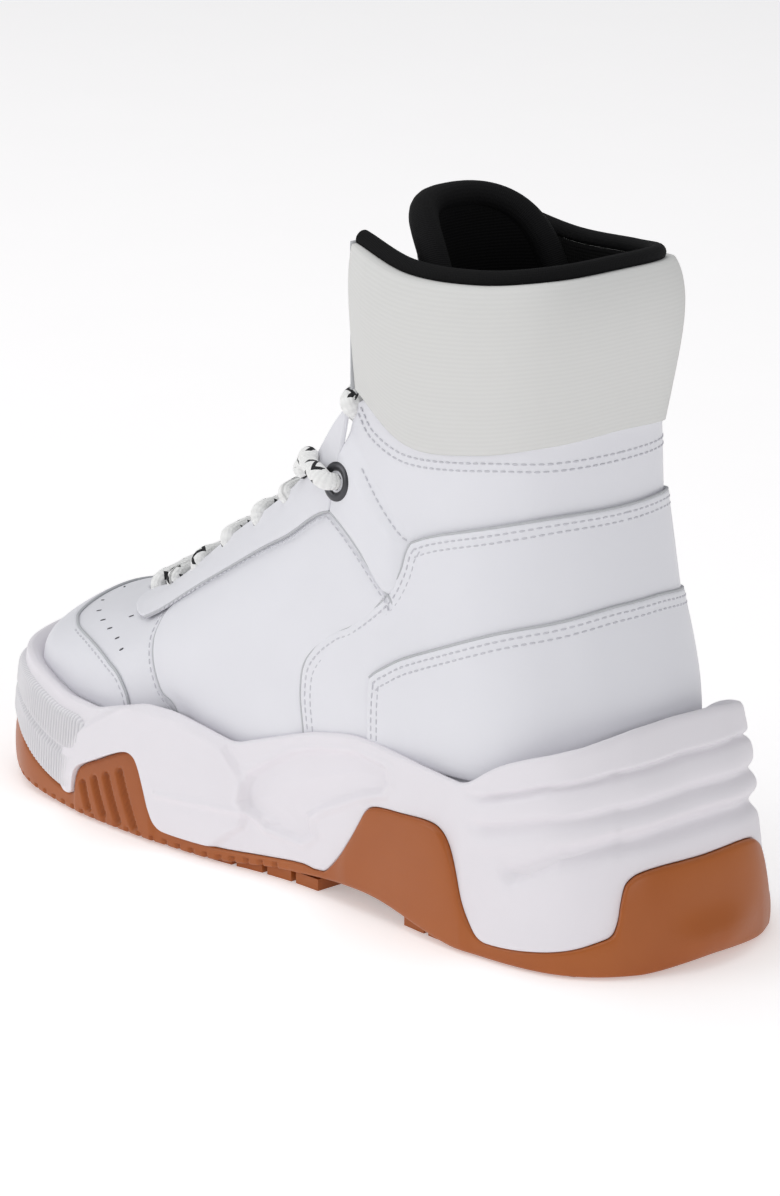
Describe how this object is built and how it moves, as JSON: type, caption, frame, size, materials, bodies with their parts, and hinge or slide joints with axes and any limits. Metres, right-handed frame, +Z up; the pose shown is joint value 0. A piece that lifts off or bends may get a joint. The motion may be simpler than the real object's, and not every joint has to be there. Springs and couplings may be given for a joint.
{
  "type": "basketball high top",
  "caption": "Left high-top basketball shoe: chunky foam midsole on a rubber outsole, layered leather upper, padded ankle collar, padded tongue and lace.",
  "frame": {"origin": "centre of the sole's outline on the ground", "axes": "+Z up, toe towards -Y, heel towards +Y, outer side of the left foot towards +X"},
  "size_m": [0.1262, 0.3156, 0.2288],
  "materials": {
    "gum_rubber": "satin translucent gum",
    "white_foam": "matt moulded foam",
    "white_rubber": "ribbed",
    "spring_steel": "plain",
    "board": "pressed fibre",
    "black_textile": "knit",
    "stiffener": "thermoplastic sheet",
    "white_leather": "smooth",
    "ribbed_jersey": "fine rib",
    "foam": "open cell foam",
    "black_binding": "stretch binding",
    "white_mesh": "spacer mesh",
    "black_metal": "satin black",
    "lace_cord": "braided, black flecks",
    "clear_plastic": "gloss"
  },
  "bodies": {
    "shoe": {"outsole": "gum_rubber", "forefoot_tread": "gum_rubber", "heel_tread": "gum_rubber", "midsole": "white_foam", "toe_bumper": "white_rubber", "shank": "spring_steel", "insole_board": "board", "toe_puff": "stiffener", "heel_counter": "stiffener", "boot_lining": "black_textile", "vamp": "white_leather", "toe_cap": "white_leather", "quarter_outer": "white_leather", "quarter_inner": "white_leather", "eyestay_outer": "white_leather", "eyestay_inner": "white_leather", "ankle_panel": "white_leather", "heel_overlay_middle": "white_leather", "heel_overlay_lower": "white_leather", "collar_cover": "ribbed_jersey", "collar_foam": "foam", "collar_lining": "black_textile", "collar_binding": "black_binding", "collar_edge_outer": "white_leather", "collar_edge_inner": "white_leather", "eyelets": "black_metal", "lace": "lace_cord", "aglets": "clear_plastic"},
    "tongue": {"tongue_face": "white_mesh", "tongue_foam": "foam", "tongue_lining": "black_textile", "tongue_binding": "black_binding"},
    "sockliner_body": {"sockliner": "black_textile"}
  },
  "joints": [
    {"name": "tongue_tilt", "type": "hinge", "parent": "shoe", "child": "tongue", "pos_m": [0, -0.0745, 0.062], "axis": [1, 0, 0], "range_deg": [-6, 0]},
    {"name": "sockliner_lift", "type": "hinge", "parent": "shoe", "child": "sockliner_body", "pos_m": [0, -0.1355, 0.027], "axis": [1, 0, 0], "range_deg": [0, 5]}
  ]
}
